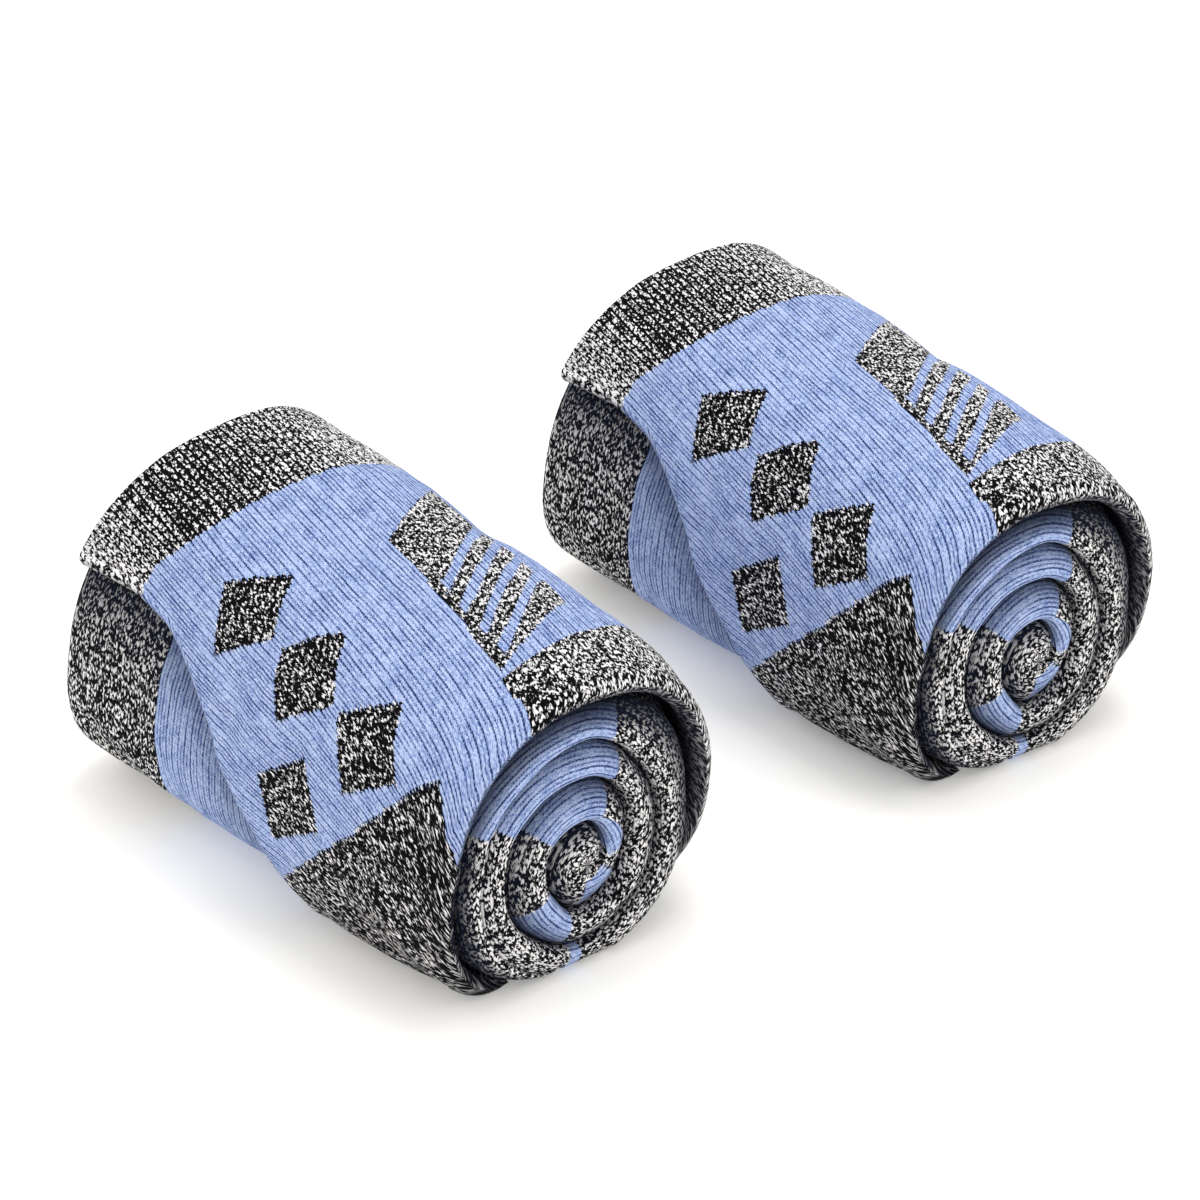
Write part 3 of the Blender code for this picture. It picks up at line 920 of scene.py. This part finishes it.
# The knit's height: how deep every gap between two wales is, how much deeper every second one is and any
# one where it opens, over what length it does, and how deep the grooves and the loops' ends are cut.
GROOVE_FROM = 0.35  # from a wale's middle, 0, to its side, 1
GAP_LEAST, GAP_RIB, GAP_OPEN, OPEN_LENGTH = 0.1, 0.5, 0.6, 7.0
GAPS_APART = 7.3  # far enough apart in the noise for each gap to open on its own
OPEN_FROM, OPEN_FULL = 0.3, 0.7  # of that noise
GROOVE_CUT, LOOP_CUT = 0.6, 0.12

# The yarn: how fine its hairs are across and along a loop, and how large its patches are.
HAIRS_ACROSS, HAIRS_ALONG = 5.0, 1.1
PATCH_ACROSS, PATCH_ALONG = 5.0, 8.0

# How light the blue yarn is painted, and what each thing adds: its height paints shade between the
# stitches and light on their tops, its hairs paint highlights along the fibres, and its stitches and
# patches vary at random.
LightParts = namedtuple("LightParts", "least height hairs stitch patch")
LIGHT = LightParts(least=-0.25, height=1.3, hairs=2.7, stitch=0.4, patch=0.7)
BLUE_FROM, BLUE_FULL = -0.3, 0.75  # how light it is where it turns from shaded to plain blue
PALE_FROM, PALE_FULL = 0.6, 1.2  # and from plain to pale

# The marl: a black and an off-white ply take turns along each leg of the stitches. How long a run of one
# ply is, how many lie beside each other in a wale, how large their clumps are, and what each thing adds to
# how light they are. The grooves and the places between the plies take light away as painted shade.
PLY_RUN, PLIES_BESIDE = 1.1, 1.5
RUNS_APART, FIRST_RUN = 7.7, 40.0  # far enough apart in the noise for each run to be its own
CLUMPS_A_WALE, CLUMP_LENGTH = 1.8, 0.9
BETWEEN_FROM = 0.5  # from a leg's middle, 0, to where two plies meet, 1
PlyParts = namedtuple("PlyParts", "runs clumps stitch hairs between groove")
PLY = PlyParts(runs=0.65, clumps=0.35, stitch=0.05, hairs=0.16, between=-0.04, groove=-0.07)
BLACK_TO, WHITE_FROM = 0.43, 0.46  # how light it is where black gives way to the light ply
SHADED_TO, LIT_FROM = 0.448, 0.515  # and where the shade painted on that ply ends
RIB_FROM, RIB_FULL = 0.1, 0.9  # from a wale's middle to its side: shade painted in a ribbed cuff's gaps

# How much the hairs and the light ply stand out, beside the stitches' own height.
RAISED_HAIRS, RAISED_PLY = 0.5, 0.3
RAISED_FROM, RAISED_FULL = 0.4, 0.55  # how light the marl is where its ply begins to stand out, and does

CLOTH = {"Roughness": 0.9, "Specular IOR Level": 0.03, "Sheen Weight": 0.01, "Sheen Roughness": 0.6}
CREASE_SHADE = 0.95  # how much of the knit's colour the painted shade takes away in the deepest creases
# The colour of that painted shade, a deep navy.
CREASE_SHADE_COLOUR = (0.006, 0.009, 0.022)

Stitches = namedtuple("Stitches", "across along wale legs aside column row to_middle")


def stitches(shade, gauge):
    """Where in its stitch a point lies. A stitch's legs run along its wale, and aside is 0 in the wale's
    middle and 1 at its sides."""
    wale_mm, course_mm = gauge.wale_pitch / MM, gauge.course_pitch / MM
    across, along = shade.map(KNIT_MAP)
    wander = shade.noise(across / WANDER_ACROSS, along / WANDER_ALONG, 1.0) - 0.5
    wale, course = across / wale_mm + wander * WANDER, along / course_mm
    aside = abs(wale.part() - 0.5) * 2
    legs = course + aside * STITCH_LEAN
    column, row = wale.floor(), legs.floor()
    to_middle = (column + 0.5 - wale) * wale_mm, (row + 0.5 - 0.5 * STITCH_LEAN - course) * course_mm
    return Stitches(across, along, wale, legs, aside, column, row, to_middle)


def relief(shade, at):
    """(height, groove, second): rounded wales of slanting loops, how deep the gaps beside them are, and
    whether a gap is every second one, the deeper. Besides the bump, they set the shade painted in the
    gaps."""
    gap = (at.wale + 0.5).floor()
    second = 1 - (gap * 0.5).part() * 2
    opened = shade.noise(gap * GAPS_APART, at.along / OPEN_LENGTH, 1.0).rise(OPEN_FROM, OPEN_FULL)
    groove = at.aside.rise(GROOVE_FROM, 1.0) * (GAP_LEAST + second * GAP_RIB + opened * GAP_OPEN)
    loop_end = 0.5 + 0.5 * (at.legs * (2 * math.pi)).cosine()
    height = 1 - groove * GROOVE_CUT - loop_end * (LOOP_CUT + groove * GROOVE_CUT)
    return height, groove, second


def blue_yarn(shade, gauge, at, height, hairs, uneven):
    """The rib's colour: painted shade deep between the stitches, painted highlight with paler hairs on its
    raised fibres, and a little patchy.
    """
    patch = shade.noise(at.across / PATCH_ACROSS, at.along / PATCH_ALONG, 2.0) - 0.5
    light = height * LIGHT.height + hairs * LIGHT.hairs + uneven * LIGHT.stitch + patch * LIGHT.patch
    light = light + LIGHT.least
    blue = shade.colours(light.rise(BLUE_FROM, BLUE_FULL), rgba(gauge.blue_shaded), rgba(gauge.blue))
    return shade.colours(light.rise(PALE_FROM, PALE_FULL), blue, rgba(gauge.blue_pale))


def marl_plies(shade, gauge, at, groove, hairs, uneven):
    """How light the marl is at a point, with painted shade in its grooves, before what its place on the sock
    takes away.
    """
    leg = at.wale * PLIES_BESIDE
    course_mm = gauge.course_pitch / MM
    runs = shade.noise(leg.floor() * RUNS_APART + FIRST_RUN, at.legs * (course_mm / PLY_RUN), 1.0)
    clumps = shade.noise(at.wale * CLUMPS_A_WALE, at.along / CLUMP_LENGTH, 1.0)
    between = (abs(leg.part() - 0.5) * 2).rise(BETWEEN_FROM, 1.0)
    ply = runs * PLY.runs + clumps * PLY.clumps + uneven * PLY.stitch + hairs * PLY.hairs
    return ply + between * PLY.between + groove * PLY.groove


def knit(name, gauge, marled):
    """A ribbed knit. marled(shade, place, to_middle) tells, from a place's coordinates and the way to its
    stitch's middle, where it is marl, how much of that is the dark ply, and how ribbed it is."""
    shade = Shade(name)
    at = stitches(shade, gauge)
    marl, darker, ribbed = marled(shade, shade.map(PLACE_MAP), at.to_middle)
    height, groove, second = relief(shade, at)
    along_loop = at.legs * (gauge.course_pitch / MM * HAIRS_ALONG)
    hairs = shade.noise(at.across * HAIRS_ACROSS, along_loop, 2.0) - 0.5
    uneven = shade.chance(at.column, at.row) - 0.5
    blue = blue_yarn(shade, gauge, at, height, hairs, uneven)
    ply = marl_plies(shade, gauge, at, groove, hairs, uneven) - darker
    ply = ply - at.aside.rise(RIB_FROM, RIB_FULL) * second * ribbed
    white = shade.colours(ply.rise(SHADED_TO, LIT_FROM), rgba(gauge.marl_shaded), rgba(gauge.marl_light))
    speckled = shade.colours(ply.rise(BLACK_TO, WHITE_FROM), rgba(gauge.marl_dark), white)
    colour = shade.colours(marl, blue, speckled)
    # Painted shade: the Shade layer darkens the colour towards deep navy in creases, by folds and in the leg.
    depth = shade.node("ShaderNodeAttribute", {"attribute_name": SHADE_LAYER}, output=2)
    creased = shade.colours(depth * (2 - depth) * CREASE_SHADE, colour, rgba(CREASE_SHADE_COLOUR))
    shade.join(shade.surface.inputs["Base Color"], creased)
    for socket, value in CLOTH.items():
        shade.surface.inputs[socket].default_value = value
    light_ply = ply.rise(RAISED_FROM, RAISED_FULL) * marl
    raised = height + hairs * RAISED_HAIRS + light_ply * RAISED_PLY
    bump = shade.node("ShaderNodeBump", None, {"Strength": 1.0, "Distance": gauge.relief, "Height": raised})
    shade.join(shade.surface.inputs["Normal"], bump)
    return shade.material


# The leg's marl panel on its right: its edges across the wales and how the left one leans, its top and foot
# where they meet that edge, and how they climb to the right. Its blue stripes climb as well.
PANEL_LEFT, PANEL_LEAN, PANEL_RIGHT = -11.8, 0.05, 15.5
PANEL_TOP, PANEL_TOP_CLIMB = 70.0, 0.6
PANEL_FOOT, PANEL_FOOT_CLIMB = 17.5, 0.36
STRIPE_LEFT, STRIPE_CLIMB, STRIPE_WIDTH = -8.0, 0.72, 3.4
STRIPES = (48.0, 39.5, 31.0, 22.5)  # along the wales, the middle of each stripe at its left end
CUFF_FOOT, CUFF_FOOT_FALL = 102.6, -0.134  # where the cuff's marl starts, and how that falls to the right
CUFF_BEND_FROM, CUFF_BEND_REACH, CUFF_BEND = -30.0, 25.5, 0.0095  # how it rises towards the left fold
SHOULDER_TOP, SHOULDER_LEFT = 15.8, -13.0  # the marl along the heel end, from its left end on
# The heel's marl on the left, under a line from one place to another.
Spot = namedtuple("Spot", "across along")
HEEL_TIP, HEEL_RIGHT = Spot(-92.0, 61.0), Spot(-35.5, 15.5)
HEEL_FALL = 0.6  # how far its right edge falls to the left for each millimetre towards the heel
# Lozenges in two staggered columns, one along the leg's left and one on its fold.
LOZENGES = (Spot(-46.0, 85.0), Spot(-46.0, 61.0), Spot(-46.0, 37.5), Spot(-73.0, 60.5))
LOZENGE_WIDE, LOZENGE_LONG = 26.0, 21.0  # across the wales and along them
LOZENGE_TURN = 0.37  # sets a lozenge square to the wales, because the courses climb
# The marl has more of its dark ply below the cuff, and more still on the leg's left, from one place across
# it to another: partly the yarn, partly painted shade on the side turned from the light. The cuff is lighter
# again at its far left.
LEG_DARKER, LEFT_DARKER = 0.03, 0.055
DARKER_FROM, DARKER_FULL = 15.0, -35.0
CUFF_DARK_FROM, CUFF_DARK_FULL = -66.0, -42.0
CUFF_RIB = 6.0  # the painted shade in the cuff's rib gaps: how dark, beside how dark its marl is


def striped_panel(across, along):
    """The marl panel on the leg's right, without its blue stripes."""
    top = (across - PANEL_LEFT) * PANEL_TOP_CLIMB + PANEL_TOP
    foot = (across - PANEL_LEFT) * PANEL_FOOT_CLIMB + PANEL_FOOT
    left = (along - PANEL_FOOT) * PANEL_LEAN + PANEL_LEFT
    climbed = along - (across - STRIPE_LEFT) * STRIPE_CLIMB
    half = STRIPE_WIDTH / 2
    stripes = any_of(climbed.between(middle - half, middle + half) for middle in STRIPES)
    panel = across.between(left, PANEL_RIGHT) & along.between(foot, top)
    return panel & (1 - (stripes & (across > STRIPE_LEFT)))


def heel_marl(across, along):
    """The marl on the heel's left, under its slanting edge and left of its right one."""
    slope = (HEEL_TIP.along - HEEL_RIGHT.along) / (HEEL_TIP.across - HEEL_RIGHT.across)
    under = along < (across - HEEL_RIGHT.across) * slope + HEEL_RIGHT.along
    return under & (across < (along - HEEL_RIGHT.along) * HEEL_FALL + HEEL_RIGHT.across)


def lozenge(across, along, middle):
    beside = across - middle.across
    far = abs(along + beside * LOZENGE_TURN - middle.along) / (LOZENGE_LONG / 2)
    return far + abs(beside) / (LOZENGE_WIDE / 2) < 1


def leg_marl(shade, place, to_middle):
    """Where the leg is marl: its cuff, the heel, the panel on the right and the lozenges on the left."""
    across, along = place[0] + to_middle[0], place[1] + to_middle[1]
    bend = ((CUFF_BEND_FROM - across) | 0.0) & CUFF_BEND_REACH
    cuff = along > across * CUFF_FOOT_FALL + bend * bend * CUFF_BEND + CUFF_FOOT
    shoulder = (along < SHOULDER_TOP) & (across > SHOULDER_LEFT)
    lozenges = any_of(lozenge(across, along, middle) for middle in LOZENGES)
    marl = cuff | shoulder | striped_panel(across, along) | heel_marl(across, along) | lozenges
    left_side = across.rise(DARKER_FROM, DARKER_FULL) * LEFT_DARKER
    below_cuff = 1 - cuff
    dark = left_side * (across.rise(CUFF_DARK_FROM, CUFF_DARK_FULL) | below_cuff) + below_cuff * LEG_DARKER
    return marl, dark, cuff * dark * CUFF_RIB


def leg_material(gauge):
    return knit("blue_rib_knit_leg", gauge, leg_marl)


# Where the ends' rims are blue: from one turn to another, between two radii.
BlueRim = namedtuple("BlueRim", "first last inner outer")
NEAR_BLUE = (
    BlueRim(68, 137, 0, 60),
    BlueRim(204, 255, 0, 60),
    BlueRim(427, 503, 0, 60),
    BlueRim(621, 628, 0, 60),
    BlueRim(793, 869, 0, 60),
    BlueRim(0, 68, 6, 11),
    BlueRim(-96, -28, 4.2, 60),
)
FAR_BLUE = (
    BlueRim(80, 150, 0, 60),
    BlueRim(420, 520, 0, 60),
    BlueRim(760, 846, 0, 60),
)
SIDE_BLUE = (50.0, 101.0)  # where the roll's side is blue, from one Y to another
END_DARKER, SIDE_DARKER = 0.036, 0.06  # how much more of the marl is its dark ply
LEAST_RADIUS = 3.0  # below it, a stitch's middle would lie too many degrees away


def end_marl(blue_rims):
    """Where an end of the roll is marl: everywhere but on its blue rims."""

    def marled(shade, place, to_middle):
        turn, radius = place
        turn = turn + to_middle[1] / (radius | LEAST_RADIUS) * math.degrees(1)
        blue = any_of(
            turn.between(rim.first, rim.last) & radius.between(rim.inner, rim.outer) for rim in blue_rims
        )
        return 1 - blue, END_DARKER, 0.0

    return marled


def side_marl(shade, place, to_middle):
    """Where the roll's side is marl: everywhere but on its blue band."""
    return 1 - (place[0] + to_middle[0]).between(*SIDE_BLUE), SIDE_DARKER, 0.0


def foot_materials(gauge):
    return [
        knit("marl_knit_near_end", gauge, end_marl(NEAR_BLUE)),
        knit("marl_knit_far_end", gauge, end_marl(FAR_BLUE)),
        knit("marl_knit_side", gauge, side_marl),
    ]


# ---------------------------------------------------------------------------------------------------
# The stage
# ---------------------------------------------------------------------------------------------------

CAMERA_PLACE = (-0.5576, -0.6869, 0.5516)
CAMERA_DIRECTION = (0.5402, 0.6739, -0.5041)
CAMERA_LENS, CAMERA_SENSOR = 132.0, 36.0
CAMERA_REACH = 20.0

# Lamps: place and aim in metres, size in metres and power in watts.
Lamp = namedtuple("Lamp", "name place aim size power")
LAMPS = (
    Lamp("key_light", (0.26, 0.10, 1.42), (0, 0, 0.02), 0.8, 5.8),
)
WORLD_LIGHT = 1.08

FLOOR_SIZE, FLOOR_SQUARES = 6.0, 8
FLOOR_HEIGHT = -0.0001  # just below the socks, so that no two faces lie on each other
FLOOR_COLOUR = (0.95, 0.936, 0.905)
FLOOR_SHINE = {"Roughness": 0.9, "Specular IOR Level": 0.1}
FLOOR_GLOW = 0.18  # the floor's own light, which softens the shadows as a lit studio sweep does
FLOOR_GLOW_COLOUR = (1, 0.995, 0.985)


def add_floor():
    mesh = bmesh.new()
    bmesh.ops.create_grid(mesh, x_segments=FLOOR_SQUARES, y_segments=FLOOR_SQUARES, size=FLOOR_SIZE)
    bmesh.ops.translate(mesh, verts=mesh.verts, vec=(0, 0, FLOOR_HEIGHT))
    data = bpy.data.meshes.new("floor")
    mesh.to_mesh(data)
    mesh.free()
    shade = Shade("pale_floor")
    colours = {"Base Color": rgba(FLOOR_COLOUR), "Emission Color": rgba(FLOOR_GLOW_COLOUR)}
    for socket, value in {**colours, **FLOOR_SHINE, "Emission Strength": FLOOR_GLOW}.items():
        shade.surface.inputs[socket].default_value = value
    data.materials.append(shade.material)
    place_object("floor", data)


def add_lights(scene):
    world = bpy.data.worlds.new("studio")
    world.use_nodes = True
    world.node_tree.nodes["Background"].inputs["Color"].default_value = (1, 1, 1, 1)
    world.node_tree.nodes["Background"].inputs["Strength"].default_value = WORLD_LIGHT
    scene.world = world
    for lamp in LAMPS:
        light = bpy.data.lights.new(lamp.name, "AREA")
        light.shape = "DISK"
        light.size = lamp.size
        light.energy = lamp.power
        place_object(lamp.name, light, lamp.place, Vector(lamp.aim) - Vector(lamp.place))


def add_camera(scene):
    lens = bpy.data.cameras.new("camera")
    lens.lens = CAMERA_LENS
    lens.sensor_width = CAMERA_SENSOR
    lens.clip_end = CAMERA_REACH
    scene.camera = place_object("camera", lens, CAMERA_PLACE, CAMERA_DIRECTION)
    scene.view_settings.view_transform = "Standard"


class RolledSockStage(bpy.types.Operator):
    """Adds the pale floor, the soft lights and the camera"""

    bl_idname = "rolled_socks.stage"
    bl_label = "Stage"

    def execute(self, context):
        add_floor()
        add_lights(context.scene)
        add_camera(context.scene)
        return {"FINISHED"}


class RolledSockPanel(bpy.types.Panel):
    """Sizes, yarns and pieces of the rolled socks"""

    bl_idname = "VIEW3D_PT_rolled_socks"
    bl_label = "Rolled Socks"
    bl_space_type = "VIEW_3D"
    bl_region_type = "UI"
    bl_category = "Socks"

    def draw(self, context):
        layout = self.layout
        for settings in (context.scene.rolled_sock_shape, context.scene.rolled_sock_knit):
            for name in settings.__annotations__:
                layout.prop(settings, name)
        for operator in OPERATORS:
            layout.operator(operator.bl_idname)


OPERATORS = (RolledSockFootRolls, RolledSockLegs, RolledSockStage)
CLASSES = (RolledSockKnit, RolledSockShape, *OPERATORS, RolledSockPanel)


def register():
    for made in CLASSES:
        bpy.utils.register_class(made)
    bpy.types.Scene.rolled_sock_knit = PointerProperty(type=RolledSockKnit)
    bpy.types.Scene.rolled_sock_shape = PointerProperty(type=RolledSockShape)


def unregister():
    del bpy.types.Scene.rolled_sock_shape
    del bpy.types.Scene.rolled_sock_knit
    for made in reversed(CLASSES):
        bpy.utils.unregister_class(made)


def main():
    register()
    bpy.ops.rolled_socks.stage()
    bpy.ops.rolled_socks.foot_rolls()
    bpy.ops.rolled_socks.legs()
    bpy.context.view_layer.update()


if __name__ == "__main__":
    main()
